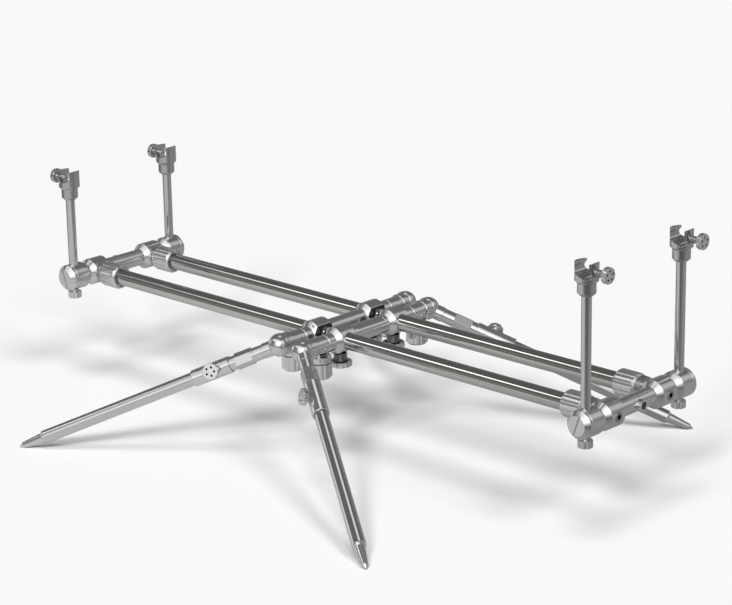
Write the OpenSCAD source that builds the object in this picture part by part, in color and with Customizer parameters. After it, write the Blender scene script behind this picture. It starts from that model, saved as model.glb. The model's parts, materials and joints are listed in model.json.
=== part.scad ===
// Rod pod in turned stainless steel: two crossbars with uprights and fork heads on two main bars,
// carried by two sliding hubs, each with two folding and telescoping legs that end in spikes.
// X runs along the main bars, Y along the crossbars, Z up; the ground is z = 0.

/* [Main bars] */
// Distance from the pod's centre to each crossbar's axis
crossbar_reach = 452; // [330:1:700]
// Spacing of the two main bars' axes
bar_spacing = 100; // [92:1:130]
// Height of the main bars' axes over the ground
bar_height = 155; // [120:1:210]
// Outside diameter of a main bar
bar_d = 22; // [18:0.5:24]
// Wall of a main bar's tube
bar_wall = 2; // [1:0.5:4]
// Length of the solid plug in each end of a main bar
bar_plug = 25; // [18:1:60]

/* [Crossbars] */
// Spacing of the two uprights on a crossbar
upright_spacing = 180; // [170:1:240]
// Diameter of the barrels and of the crossbar's end pieces
barrel_d = 36; // [34:0.5:42]
// Length of a barrel's straight part
barrel_l = 24; // [20:1:28]
// Diameter of a crossbar's middle tube
crossbar_tube_d = 23; // [18:0.5:28]
// Diameter of the neck between a barrel and an end piece
crossbar_neck_d = 24; // [20:0.5:30]
// Length of an end piece's straight part on the inner side of the upright
end_inner_l = 13.5; // [10:0.5:18]
// Depth and half width of the groove round an end piece's inner edge
end_groove = 0.8; // [0.4:0.1:1.2]
// Distance from the upright's axis to the joint of the end cap
cap_joint = 7.5; // [7.5:0.5:12]
// Length of an end cap's straight rim
cap_rim_l = 4; // [2:0.5:10]
// Diameter of an end cap's flat face
cap_face_d = 24.8; // [18:0.2:30]
// Width of the coin slot in an end cap
cap_slot_w = 1.8; // [1:0.1:3]
// Depth of the coin slot
cap_slot_depth = 1.8; // [1:0.1:3]
// Lean of the coin slot from the vertical
cap_slot_turn = 19; // [-90:1:90]
// Diameter of the screwed register on an end cap
cap_register_d = 14; // [8:0.5:16]
// Length of the screwed register
cap_register_l = 3; // [2:0.5:4]
// Diameter of the boss on the middle of a crossbar
boss_d = 14; // [12:0.5:18]
// Reach of the boss from the crossbar's axis
boss_reach = 16.5; // [14:0.5:30]
// Diameter of the threaded socket in the boss
boss_socket_d = 9.5; // [6:0.1:11]
// Depth of the threaded socket in the boss
boss_socket_depth = 14; // [8:1:20]

/* [Bar couplings] */
// Diameter of the threaded neck that a coupling collar screws on
thread_neck_d = 28.5; // [26:0.5:30]
// Reach of the threaded neck from the crossbar's axis
thread_neck_reach = 33; // [28:1:40]
// Distance from the crossbar's axis to the end of the main bar
bar_seat = 10; // [6:1:14]
// Outside diameter of a coupling collar
collar_d = 34; // [32:0.5:40]
// Length of a coupling collar
collar_l = 33; // [28:1:50]
// Chamfer on both ends of a coupling collar
collar_chamfer = 3; // [1:0.5:3.5]
// Number of flutes round a coupling collar
collar_flutes = 10; // [8:1:14]
// Radius of a collar's flutes
collar_flute_r = 6; // [3:0.5:8]
// Depth of the flutes in collars and knobs
flute_depth = 0.9; // [0.4:0.1:1.2]
// Depth of the recess round the bar in a collar's inner end
collar_recess = 3.5; // [1:0.5:6]
// Length of the collar's screwed bore
collar_thread_l = 13; // [12:1:18]
// Distance from a left crossbar's axis to a collar's inner end, screwed home
collar_end_left = 55; // [52:1:58]
// Distance from a right crossbar's axis to a collar's inner end, backed off
collar_end_right = 60; // [55:1:62]
// Diameter of a bar bolt's head
bolt_head_d = 13; // [11:0.5:16]
// Length of a bar bolt's head
bolt_head_l = 8; // [5:0.5:10]
// Stand of a bar bolt's head from the crossbar's axis
bolt_stand = 18.4; // [17:0.1:21]
// Diameter of a bar bolt's shank
bolt_shank_d = 8; // [6:0.5:10]
// Reach of a bar bolt's shank into the main bar
bolt_grip = 16; // [10:1:17]
// Width of a bar bolt's hexagon socket across its corners
bolt_hex = 6.9; // [5:0.1:9]
// Depth of a bar bolt's hexagon socket
bolt_hex_depth = 4.5; // [2:0.5:4.5]

/* [Uprights] */
// Diameter of an upright
upright_d = 12.3; // [10:0.1:13]
// Height of the upright's seat over the crossbar's axis
upright_seat = 8; // [7:0.5:10]
// Height of a left head over the main bars' axes
left_head_height = 111; // [60:1:300]
// Height of a right head over the main bars' axes
right_head_height = 155; // [60:1:300]
// Diameter of a foot screw's stud
foot_stud_d = 6; // [4:0.5:8]
// Reach of the stud into the upright
foot_stud_grip = 9; // [6:1:12]
// Diameter of a foot screw's scalloped head
foot_head_d = 18.5; // [14:0.5:24]
// Height of a foot screw's scalloped head
foot_head_h = 9; // [6:0.5:14]
// Height of the neck over a foot screw's head
foot_neck_h = 2.6; // [1:0.1:5]
// Diameter of the neck over a foot screw's head
foot_neck_d = 10; // [8:0.5:13]
// Number of scallops round a foot screw's head
foot_scallops = 8; // [6:1:10]
// Radius of a scallop
foot_scallop_r = 2.4; // [1.5:0.1:3]
// Depth of a scallop
foot_scallop_depth = 1.1; // [0.5:0.1:1.5]

/* [Fork heads] */
// Diameter of a head's collar
head_collar_d = 22.4; // [20:0.2:26]
// Height of a head's collar
head_collar_h = 15; // [12:0.5:20]
// Lower chamfer of a head's collar
head_chamfer = 3; // [1:0.5:4]
// Diameter of a fork
fork_d = 28.6; // [27:0.2:34]
// Height of a fork
fork_h = 25; // [24:0.5:32]
// Depth to which the upright enters its head
head_socket = 10; // [6:0.5:13]
// Distance from the fork's axis to the plain prong
prong_plain = 9; // [8:0.1:10]
// Distance from the fork's axis to the prong with the knob
prong_knob = 10.6; // [9.5:0.1:11]
// Depth of the groove's axis in the plain prong under the fork's top
groove_drop = 7.6; // [7:0.1:9]
// Radius of the groove in the plain prong
groove_r = 6.4; // [5:0.1:7]
// Distance from the plain prong's face to the groove's axis
groove_inset = 4.5; // [3.5:0.1:5]
// Depth of the undercut's axis in the other prong under the fork's top
undercut_drop = 14; // [12:0.1:15]
// Radius of the undercut in the other prong
undercut_r = 5.2; // [4:0.1:5.4]
// Distance from the other prong's face to the undercut's axis
undercut_inset = 3.1; // [3:0.1:3.5]
// Depth of a head knob's axis under the fork's top
knob_drop = 11; // [8:0.5:14]
// Diameter of a head knob
head_knob_d = 20; // [16:0.5:24]
// Distance from a left fork's axis to its knob's face
left_knob_face = 28.6; // [27:0.1:34]
// Distance from a right fork's axis to its knob's face
right_knob_face = 33.5; // [29:0.1:34]

/* [Knobs] */
// Thickness of a drilled knob
knob_t = 6.5; // [5:0.5:10]
// Diameter of a knob's screw
knob_screw_d = 8; // [6:0.5:9]
// Number of flutes round a drilled knob
knob_flutes = 10; // [6:1:12]
// Radius of a drilled knob's flutes
knob_flute_r = 2.2; // [1.5:0.1:3]
// Number of drilled holes in a knob's face
knob_holes = 5; // [3:1:6]
// Diameter of a drilled hole in a knob's face
knob_hole_d = 3; // [2:0.1:4]
// Radius of the circle of drilled holes
knob_hole_r = 5.6; // [4:0.1:7]
// Depth of a drilled hole in a knob's face
knob_hole_depth = 2.5; // [1:0.5:4]

/* [Hubs] */
// Distance from the pod's centre plane to each hub's axis
hub_offset = 20.3; // [20:0.1:120]
// Diameter of a hub's middle tube
hub_tube_d = 23.5; // [20:0.5:28]
// Diameter of a hub's end tube
hub_end_d = 24; // [22:0.5:26]
// Distance from the centre plane to the groove round a hub's end tube
hub_groove = 80.2; // [75:0.1:82]
// Depth of the groove round a hub's end tube
hub_groove_depth = 0.6; // [0.3:0.1:1]
// Distance from the centre plane to a hub's end face
hub_end = 102.2; // [100:0.1:110]
// Distance from the centre plane to the leg lock's axis
lock_place = 91; // [88:0.5:95]
// Distance from a hub's axis to the leg lock's axis
lock_offset = 4.5; // [0:0.5:6]
// Diameter of a leg lock's housing at its skirt
lock_skirt_d = 28; // [24:0.5:32]
// Height of the leg lock's housing below the hub's axis
lock_drop = 19.5; // [18:0.5:24]
// Depth of the housing's flat shelf below the hub's axis
lock_shelf = 11; // [10:0.5:14]
// Width of the slot over the shelf on the hub's outer side
lock_slot_w = 13.5; // [6:0.5:15]
// Height of the slot over the shelf
lock_slot_h = 4.5; // [2:0.5:5]
// Distance from the hub's axis to the slot's back
lock_slot_x = 9; // [8.8:0.1:11]
// Diameter of the round recess on the hub's outer side over the slot
eye_d = 5; // [3:0.5:6]
// Depth of the round recess
eye_depth = 1; // [0.5:0.1:1.5]
// Diameter of a leg lock's knob
lock_knob_d = 29; // [24:0.5:34]
// Height of a leg lock's knob
lock_knob_h = 20; // [10:0.5:26]
// Lower chamfer of a leg lock's knob
lock_knob_chamfer = 3; // [1:0.5:5]
// Number of flutes round a leg lock's knob
lock_flutes = 12; // [8:1:16]
// Radius of the flutes of leg locks and bar clamps
grip_flute_r = 2.7; // [2:0.1:3]
// Diameter of the neck on a leg lock's knob
lock_stem_d = 16; // [10:0.5:22]
// Diameter of a bar clamp's thin fluted disc
clamp_disc_d = 30; // [24:0.5:33]
// Thickness of a bar clamp's disc
clamp_disc_t = 6.5; // [4:0.5:10]
// Length of the bar clamp's neck between the barrel and the disc
clamp_neck_l = 11; // [6:0.5:16]
// Diameter of the bar clamp's neck
clamp_neck_d = 16; // [9:0.5:18]
// Number of flutes round a bar clamp's disc
clamp_flutes = 14; // [8:1:18]
// Diameter of the small set screw hole in a barrel's cone
set_hole_d = 3; // [2:0.1:4]
// Depth of the set screw hole
set_hole_depth = 1.5; // [1:0.1:2.5]
// Turn of the set screw hole from the hub's top to its inner side
set_hole_turn = 29; // [0:1:60]
// Length of the bare name plate's flat on the right hub's middle tube
plate_l = 50; // [20:1:60]
// Distance of the flat's middle from the centre plane
plate_shift = 1; // [-1:0.1:1]
// Depth of the flat
plate_depth = 0.7; // [0.3:0.1:1.2]
// Turn of the flat from the hub's outer side to its top
plate_turn = 62; // [30:1:90]

/* [Legs] */
// Splay of each leg out of the vertical plane along the bars
leg_splay = 30.5; // [10:0.5:45]
// Distance from the centre plane to the point where a leg meets its hub's axis
leg_root = 118.3; // [115:0.1:130]
// Diameter of a knuckle's dome
knuckle_d = 30; // [28:0.5:34]
// Length of the straight rim on a knuckle's dome
dome_rim = 3.4; // [2:0.1:5]
// Step between a knuckle's neck and its dome
dome_step = 1.2; // [0.8:0.1:2]
// Diameter of a knuckle's spindle inside the hub
spindle_d = 16; // [12:0.5:18]
// Length of a knuckle's spindle inside the hub
spindle_l = 20; // [12:1:22]
// Diameter of the stub collar on a knuckle
stub_d = 20; // [19:0.5:24]
// Distance from the leg's root to the stub collar's end
stub_reach = 22; // [20:1:26]
// Diameter of the rod's thread in the stub collar
stub_thread_d = 12; // [8:0.5:14]
// Depth of the rod's thread in the stub collar
stub_thread_l = 12; // [6:1:14]
// Diameter of a leg's rod
rod_d = 18.5; // [17:0.1:19]
// Distance from the leg's root to the rod's hexagon
hex_start = 38; // [30:1:50]
// Width of the rod's hexagon across its flats
hex_flats = 19; // [18.8:0.1:21]
// Length of the rod's hexagon
hex_l = 24; // [12:1:36]
// Length of the rod's shoulder past the hexagon
shoulder_l = 34; // [28:1:34]
// Diameter of the rod's tail inside the lower tube
tail_d = 13.6; // [10:0.1:14]
// Length of the rod's tail past its shoulder
tail_l = 150; // [60:1:180]
// Extension of the near left and far right legs
long_extension = 8; // [3:0.5:40]
// Extension of the near right and far left legs
short_extension = 1; // [1:0.5:40]
// Diameter of a leg's sleeve
sleeve_d = 22; // [21:0.5:26]
// Length of a leg's sleeve
sleeve_l = 54; // [50:1:80]
// Length of the lower tube's seat in the sleeve
sleeve_seat = 16; // [10:0.5:16]
// Depth of the recess round the rod and the tube in a sleeve's ends
sleeve_recess = 2; // [0.5:0.5:3]
// Wall of the sleeve round the recess
sleeve_lip = 1.2; // [0.6:0.1:1.2]
// Distance from the sleeve's top to its knob
sleeve_knob_place = 23.5; // [20:0.5:30]
// Diameter of a sleeve's knob
sleeve_knob_d = 21.6; // [18:0.2:26]
// Length of the bare neck under a sleeve's knob
sleeve_knob_neck = 2.5; // [1:0.5:5]
// Diameter of the neck under a sleeve's knob
sleeve_neck_d = 12; // [10:0.5:16]
// Diameter of a leg's lower tube
lower_d = 17.8; // [16:0.1:18]
// Length of a leg's lower tube
lower_l = 238; // [200:1:400]
// Length of a spike below its tube
spike_l = 38; // [30:1:60]
// Length of a spike's screwed part in its tube
spike_grip = 14; // [8:1:30]
// Length of the rim of a spike on its tube
spike_rim = 1.5; // [1:0.5:4]
// Diameter of a spike under its rim
spike_root_d = 13.6; // [10:0.2:16]
// Diameter of a spike where its point starts
spike_tip_d = 8.6; // [5:0.2:9]
// Length of a spike's point
spike_point_l = 6; // [4:0.5:12]
// Radius of a spike's point
point_r = 1.2; // [0.8:0.1:2]

/* [Fits] */
// Radial clearance of a shaft or screw in its hole
fit = 0.05; // [0.02:0.01:0.1]
// Gap between faces of pieces that turn on each other
gap = 0.3; // [0.2:0.1:0.5]

/* [Hidden] */
$fn = 64;
EPS = 0.5;
edge = 0.6;
fine_edge = 0.4;
bar_y = bar_spacing / 2;
upright_y = upright_spacing / 2;
barrel_r = barrel_d / 2;
barrel_in = bar_y - barrel_l / 2;
barrel_out = bar_y + barrel_l / 2;
cap_plane = upright_y + cap_joint;
cap_face = cap_plane + cap_rim_l + barrel_r - cap_face_d / 2;
bar_l = 2 * (crossbar_reach - bar_seat);
fork_top = head_collar_h + fork_h;
knob_screw_l = right_knob_face - knob_t - prong_knob - gap;
clamp_tip = bar_d / 2 + gap;
clamp_face = barrel_r + gap;
lock_neck_d = 2 * (hub_end - lock_place);
lock_neck_x = hub_end_d / 2 + EPS - lock_neck_d / 2;
lock_face = lock_drop + 1;
cone_mid_r = (barrel_r + hub_end_d / 2) / 2;
cone_mid_y = barrel_out + barrel_r - cone_mid_r;
knuckle_face = hub_end + gap;
knuckle_neck_r = knuckle_d / 2 - dome_step;
knuckle_sweep = knuckle_neck_r + gap;
knuckle_step = leg_root - dome_rim - dome_step;
sleeve_start = hex_start + hex_l;
tube_seat = sleeve_l - sleeve_seat;
spike_end = spike_l - 1.4 * point_r;
rest_l = sleeve_start + tube_seat + lower_l + spike_l;
STEEL = "silver";
DARK_STEEL = "dimgray";
BRIGHT_STEEL = "gainsboro";

function flip(p) = [for (i = [len(p) - 1 : -1 : 0]) [p[i][0], -p[i][1]]];
function extension(sx, sy) = sx * sy > 0 ? long_extension : short_extension;
function leg_pitch(sx, sy) =
    asin((bar_height - point_r) / ((rest_l + extension(sx, sy) - point_r) * cos(leg_splay)));

// Half of a crossbar's outline from its middle to the joint of its end cap: [radius, distance]
crossbar_half = [
    [crossbar_tube_d / 2, barrel_in - (barrel_d - crossbar_tube_d) / 2],
    [barrel_r, barrel_in],
    [barrel_r, barrel_out],
    [crossbar_neck_d / 2, barrel_out + (barrel_d - crossbar_neck_d) / 2],
    [crossbar_neck_d / 2, upright_y - end_inner_l - (barrel_d - crossbar_neck_d) / 2],
    [barrel_r - end_groove, upright_y - end_inner_l - end_groove],
    [barrel_r - end_groove, upright_y - end_inner_l],
    [barrel_r, upright_y - end_inner_l + end_groove],
    [barrel_r, cap_plane - fine_edge],
    [barrel_r - fine_edge, cap_plane],
    [0, cap_plane]];

// Half of a hub's outline from its middle to its end face: [radius, distance]
hub_half = [
    [hub_tube_d / 2, barrel_in - (barrel_d - hub_tube_d) / 2],
    [barrel_r, barrel_in],
    [barrel_r, barrel_out],
    [hub_end_d / 2, barrel_out + (barrel_d - hub_end_d) / 2],
    [hub_end_d / 2, hub_groove - 1.25 * hub_groove_depth],
    [hub_end_d / 2 - hub_groove_depth, hub_groove - hub_groove_depth / 4],
    [hub_end_d / 2 - hub_groove_depth, hub_groove + hub_groove_depth / 4],
    [hub_end_d / 2, hub_groove + 1.25 * hub_groove_depth],
    [hub_end_d / 2, hub_end - edge],
    [hub_end_d / 2 - edge, hub_end],
    [0, hub_end]];

// A solid turned round the Y axis
module turned_y(outline) rotate([-90, 0, 0]) rotate_extrude() polygon(outline);

// Grip scallops: cutters spread round the Z axis, to be taken from a round knob
module flute_cutters(knob_r, count, cutter_r, depth, h) {
    for (i = [0 : count - 1]) rotate([0, 0, i * 360 / count])
        translate([knob_r + cutter_r - depth, 0, -EPS]) cylinder(r = cutter_r, h = h + 2 * EPS);
}

// A round disc with both edges broken, standing on z = 0
module chamfered_disc(d, h, edge) rotate_extrude() polygon([
    [0, 0], [d / 2 - edge, 0], [d / 2, edge], [d / 2, h - edge], [d / 2 - edge, h], [0, h]]);

// Drilled knob with its screw: the face at z = knob_t, the screw down the negative Z axis
module drilled_knob(d, neck_d, neck_l, screw_l) {
    difference() {
        chamfered_disc(d, knob_t, edge);
        flute_cutters(d / 2, knob_flutes, knob_flute_r, flute_depth, knob_t);
        for (i = [0 : knob_holes - 1]) rotate([0, 0, (i + 0.5) * 360 / knob_holes])
            translate([knob_hole_r, 0, knob_t - knob_hole_depth])
                cylinder(d = knob_hole_d, h = knob_hole_depth + EPS, $fn = 24);
    }
    if (neck_l > 0) translate([0, 0, -neck_l]) cylinder(d = neck_d, h = neck_l);
    translate([0, 0, -screw_l]) cylinder(d = knob_screw_d - 2 * fit, h = screw_l);
}

// Main bar: a tube with a tapped plug in each end
module main_bar(sy) color(STEEL) translate([0, sy * bar_y, bar_height]) rotate([0, 90, 0])
    difference() {
        cylinder(d = bar_d, h = bar_l, center = true);
        cylinder(d = bar_d - 2 * bar_wall, h = bar_l - 2 * bar_plug, center = true);
        for (s = [-1, 1]) translate([0, 0, s * (bar_l / 2 - (bolt_grip + 1) / 2)])
            cylinder(d = bolt_shank_d, h = bolt_grip + 1, center = true);
    }

// Moves its children, drawn for the right crossbar with the outer side at +X, to one end
module at_crossbar(sx) translate([sx * crossbar_reach, 0, bar_height])
    mirror([sx < 0 ? 1 : 0, 0, 0]) children();

// Crossbar: two barrels for the main bars, two ends for the uprights, one middle boss
module crossbar(sx) color(STEEL) translate([sx * crossbar_reach, 0, bar_height])
    rotate([0, 0, sx < 0 ? 180 : 0]) difference() {
    union() {
        turned_y(concat(crossbar_half, flip(crossbar_half)));
        for (sy = [-1, 1]) translate([0, sy * bar_y, 0]) rotate([0, -90, 0])
            cylinder(d = thread_neck_d, h = thread_neck_reach);
        rotate([0, 90, 0]) cylinder(d = boss_d, h = boss_reach);
    }
    translate([boss_reach - boss_socket_depth, 0, 0]) rotate([0, 90, 0])
        cylinder(d = boss_socket_d, h = boss_socket_depth + EPS);
    for (sy = [-1, 1]) {
        translate([-bar_seat, sy * bar_y, 0]) rotate([0, -90, 0])
            cylinder(d = bar_d + 2 * fit, h = thread_neck_reach);
        translate([-bar_seat - EPS, sy * bar_y, 0]) rotate([0, 90, 0])
            cylinder(d = bolt_shank_d, h = bar_seat + barrel_r + EPS);
        translate([bolt_stand - bolt_head_l, sy * bar_y, 0]) rotate([0, 90, 0])
            cylinder(d = bolt_head_d + 2 * fit, h = barrel_r);
        translate([0, sy * upright_y, upright_seat])
            cylinder(d = upright_d + 2 * fit, h = barrel_r);
        translate([0, sy * upright_y, -barrel_r - EPS])
            cylinder(d = foot_stud_d, h = barrel_r + upright_seat + 2 * EPS);
        translate([0, sy * cap_plane, 0]) rotate([sy * 90, 0, 0])
            cylinder(d = cap_register_d, h = cap_register_l + gap);
    }
}

// End caps: screwed into the crossbars' ends, each with a coin slot
module end_cap() difference() {
    rotate_extrude() polygon([
        [0, -cap_register_l], [cap_register_d / 2 - fit, -cap_register_l],
        [cap_register_d / 2 - fit, 0], [barrel_r - fine_edge, 0], [barrel_r, fine_edge],
        [barrel_r, cap_rim_l], [cap_face_d / 2, cap_face - cap_plane], [0, cap_face - cap_plane]]);
    translate([-barrel_r, -cap_slot_w / 2, cap_face - cap_plane - cap_slot_depth])
        cube([barrel_d, cap_slot_w, cap_slot_depth + EPS]);
}
module end_caps() color(STEEL) for (sx = [-1, 1], sy = [-1, 1]) at_crossbar(sx)
    translate([0, sy * cap_plane, 0]) rotate([-sy * 90, 0, 0])
        rotate([0, 0, 90 + sy * cap_slot_turn]) end_cap();

// Bar bolts: hexagon socket screws that hold the main bars to the crossbars
module bar_bolt() difference() {
    union() {
        chamfered_disc(bolt_head_d, bolt_head_l, edge);
        translate([0, 0, bolt_head_l - bolt_stand - bar_seat - bolt_grip])
            cylinder(d = bolt_shank_d - 2 * fit, h = bolt_stand + bar_seat + bolt_grip - bolt_head_l);
    }
    translate([0, 0, bolt_head_l - bolt_hex_depth])
        cylinder(d = bolt_hex, h = bolt_hex_depth + EPS, $fn = 6);
}
module bar_bolts() color(DARK_STEEL) for (sx = [-1, 1], sy = [-1, 1]) at_crossbar(sx)
    translate([bolt_stand - bolt_head_l, sy * bar_y, 0]) rotate([0, 90, 0]) bar_bolt();

// Coupling collar: screws on the crossbar's neck and grips the main bar; z = 0 is its inner end
module collar(sx, sy) color(BRIGHT_STEEL) at_crossbar(sx)
    translate([sx < 0 ? -collar_end_left : -collar_end_right, sy * bar_y, 0]) rotate([0, 90, 0])
        difference() {
            chamfered_disc(collar_d, collar_l, collar_chamfer);
            flute_cutters(collar_d / 2, collar_flutes, collar_flute_r, flute_depth, collar_l);
            translate([0, 0, -EPS]) cylinder(d = bar_d + 2 * fit, h = collar_l);
            translate([0, 0, -EPS]) cylinder(d = thread_neck_d, h = collar_recess + EPS);
            translate([0, 0, collar_l - collar_thread_l])
                cylinder(d = thread_neck_d + 2 * fit, h = collar_thread_l + EPS);
        }

// Moves its children, drawn round the Z axis at bar height, to an upright
module at_upright(sx, sy) at_crossbar(sx) translate([0, sy * upright_y, 0]) children();
function head_height(sx) = sx < 0 ? left_head_height : right_head_height;

// Upright: a plain rod, tapped at its foot
module upright(sx, sy) color(STEEL) at_upright(sx, sy) difference() {
    translate([0, 0, upright_seat + gap])
        cylinder(d = upright_d, h = head_height(sx) + head_socket - upright_seat - gap);
    translate([0, 0, upright_seat]) cylinder(d = foot_stud_d, h = foot_stud_grip + 2);
}

// Foot screw: a scalloped thumb screw under the crossbar that holds the upright
module foot_screw(sx, sy) color(BRIGHT_STEEL) at_upright(sx, sy) {
    translate([0, 0, -barrel_r - gap - foot_neck_h - foot_head_h]) difference() {
        chamfered_disc(foot_head_d, foot_head_h, edge);
        flute_cutters(foot_head_d / 2, foot_scallops, foot_scallop_r, foot_scallop_depth, foot_head_h);
    }
    translate([0, 0, -barrel_r - gap - foot_neck_h]) cylinder(d = foot_neck_d, h = foot_neck_h);
    translate([0, 0, -barrel_r - gap])
        cylinder(d = foot_stud_d - 2 * fit, h = barrel_r + upright_seat + 2 * gap + foot_stud_grip);
}

// Fork head: a collar on the upright and a fork, slotted along the crossbar's direction
module fork_slot() {
    top = fork_top;
    rotate([90, 0, 0]) linear_extrude(fork_d + 2 * EPS, center = true) union() {
        polygon([
            [-prong_plain, top + EPS], [prong_knob, top + EPS], [prong_knob, top - undercut_drop],
            [prong_knob - undercut_inset, top - undercut_drop - undercut_r + EPS],
            [-prong_plain + groove_inset, top - groove_drop - groove_r + EPS],
            [-prong_plain, top - groove_drop]]);
        translate([-prong_plain + groove_inset, top - groove_drop]) circle(r = groove_r);
        translate([prong_knob - undercut_inset, top - undercut_drop]) circle(r = undercut_r);
    }
}
module head(sx, sy) color(STEEL) at_upright(sx, sy) translate([0, 0, head_height(sx)])
    difference() {
        rotate_extrude() polygon([
            [0, 0], [head_collar_d / 2 - head_chamfer, 0], [head_collar_d / 2, head_chamfer],
            [head_collar_d / 2, head_collar_h],
            [fork_d / 2, head_collar_h + (fork_d - head_collar_d) / 2],
            [fork_d / 2, fork_top], [0, fork_top]]);
        fork_slot();
        translate([0, 0, -EPS]) cylinder(d = upright_d + 2 * fit, h = head_socket + EPS);
        translate([0, 0, fork_top - knob_drop]) rotate([0, 90, 0])
            cylinder(d = knob_screw_d, h = fork_d);
    }

// Head knob: the drilled knob that clamps what the fork holds
module head_knob(sx, sy) color(BRIGHT_STEEL) at_upright(sx, sy)
    translate([(sx < 0 ? left_knob_face : right_knob_face) - knob_t, 0,
        head_height(sx) + fork_top - knob_drop])
        rotate([0, 90, 0]) drilled_knob(head_knob_d, 0, 0, knob_screw_l);

// Moves its children, drawn for the right hub with the outer side at +X, to one hub: the left
// hub is the same piece turned half round
module at_hub(sx) translate([sx * hub_offset, 0, bar_height])
    rotate([0, 0, sx < 0 ? 180 : 0]) children();

// Leg lock's housing at one end of a hub: a drum with a flat shelf and a neck up to the hub's axis
module lock_housing(sy) {
    translate([lock_offset, sy * lock_place, -lock_drop])
        chamfered_disc(lock_skirt_d, lock_drop - lock_shelf, fine_edge);
    difference() {
        translate([lock_neck_x, sy * lock_place, -lock_shelf - EPS])
            cylinder(d = lock_neck_d, h = lock_shelf + EPS);
        translate([lock_slot_x, sy * lock_place - lock_slot_w / 2, -lock_shelf])
            cube([barrel_r, lock_slot_w, lock_slot_h]);
    }
}

// Hub: one turned body with two barrels on the main bars and a leg lock's housing at each end
module hub(sx) color(STEEL) at_hub(sx) difference() {
    union() {
        turned_y(concat(hub_half, flip(hub_half)));
        for (sy = [-1, 1]) lock_housing(sy);
    }
    for (sy = [-1, 1]) {
        translate([0, sy * bar_y, 0]) rotate([0, 90, 0])
            cylinder(d = bar_d + 2 * fit, h = 2 * barrel_d, center = true);
        translate([0, sy * (hub_end + EPS), 0]) rotate([sy * 90, 0, 0])
            cylinder(d = spindle_d + 2 * fit, h = spindle_l + gap + EPS);
        translate([0, sy * (hub_end + lock_skirt_d), 0]) rotate([sy * 90, 0, 0])
            cylinder(r = knuckle_sweep, h = lock_skirt_d);
        translate([0, sy * bar_y, -barrel_d]) cylinder(d = knob_screw_d, h = barrel_d);
        translate([lock_offset, sy * lock_place, -lock_drop - EPS])
            cylinder(d = knob_screw_d, h = lock_drop + EPS);
        translate([hub_end_d / 2 - eye_depth, sy * lock_place, 0]) rotate([0, 90, 0])
            cylinder(d = eye_d, h = eye_depth + 2 * EPS);
        rotate([0, -set_hole_turn, 0]) translate([0, sy * cone_mid_y, cone_mid_r])
            rotate([-sy * 45, 0, 0]) translate([0, 0, -set_hole_depth])
            cylinder(d = set_hole_d, h = 2 * set_hole_depth, $fn = 24);
    }
    if (sx > 0) rotate([0, -plate_turn, 0])
        translate([hub_tube_d / 2 - plate_depth, plate_shift - plate_l / 2, -hub_tube_d / 2])
            cube([hub_tube_d, plate_l, hub_tube_d]);
}

// Bar clamp: a thin fluted disc whose screw presses on the main bar from below
module bar_clamp(sx, sy) color(BRIGHT_STEEL) at_hub(sx) translate([0, sx * sy * bar_y, 0]) {
    translate([0, 0, -clamp_face - clamp_neck_l - clamp_disc_t]) difference() {
        chamfered_disc(clamp_disc_d, clamp_disc_t, edge);
        flute_cutters(clamp_disc_d / 2, clamp_flutes, grip_flute_r, flute_depth, clamp_disc_t);
    }
    translate([0, 0, -clamp_face - clamp_neck_l]) cylinder(d = clamp_neck_d, h = clamp_neck_l);
    translate([0, 0, -clamp_face - clamp_neck_l])
        cylinder(d = knob_screw_d - 2 * fit, h = clamp_face + clamp_neck_l - clamp_tip);
}

// Leg lock: a tall fluted knob whose screw locks the knuckle's spindle
module leg_lock(sx, sy) color(BRIGHT_STEEL) at_hub(sx)
    translate([lock_offset, sx * sy * lock_place, 0]) {
    translate([0, 0, -lock_face - lock_knob_h]) difference() {
        rotate_extrude() polygon([
            [0, 0], [lock_knob_d / 2 - lock_knob_chamfer, 0], [lock_knob_d / 2, lock_knob_chamfer],
            [lock_knob_d / 2, lock_knob_h - edge], [lock_knob_d / 2 - edge, lock_knob_h],
            [0, lock_knob_h]]);
        flute_cutters(lock_knob_d / 2, lock_flutes, grip_flute_r, flute_depth, lock_knob_h);
    }
    translate([0, 0, -lock_face]) cylinder(d = lock_stem_d, h = lock_face - lock_drop - gap);
    translate([0, 0, -lock_face])
        cylinder(d = knob_screw_d - 2 * fit, h = lock_face - spindle_d / 2 - gap);
}

// Moves its children to a leg: local Z runs down the leg, local -Y is the outer side
module at_leg(sx, sy) mirror([sx > 0 ? 1 : 0, 0, 0]) mirror([0, sy > 0 ? 1 : 0, 0])
    translate([-hub_offset, -leg_root, bar_height]) rotate([0, -90 - leg_pitch(sx, sy), 0])
    rotate([leg_splay, 0, 0]) children();

// Knuckle: turns on its spindle in the hub's end and carries the leg
module knuckle(sx, sy) color(STEEL) difference() {
    union() {
        translate([sx * hub_offset, 0, bar_height]) mirror([0, sy < 0 ? 1 : 0, 0]) {
            turned_y([
                [0, hub_end - spindle_l], [spindle_d / 2, hub_end - spindle_l],
                [spindle_d / 2, knuckle_face], [knuckle_neck_r - edge, knuckle_face],
                [knuckle_neck_r, knuckle_face + edge], [knuckle_neck_r, knuckle_step],
                [knuckle_d / 2, knuckle_step + dome_step], [knuckle_d / 2, leg_root], [0, leg_root]]);
            translate([0, leg_root, 0]) rotate([90, 0, 0]) sphere(d = knuckle_d);
        }
        at_leg(sx, sy) cylinder(d = stub_d, h = stub_reach);
    }
    at_leg(sx, sy) translate([0, 0, stub_reach - stub_thread_l])
        cylinder(d = stub_thread_d, h = stub_thread_l + EPS);
}

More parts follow.
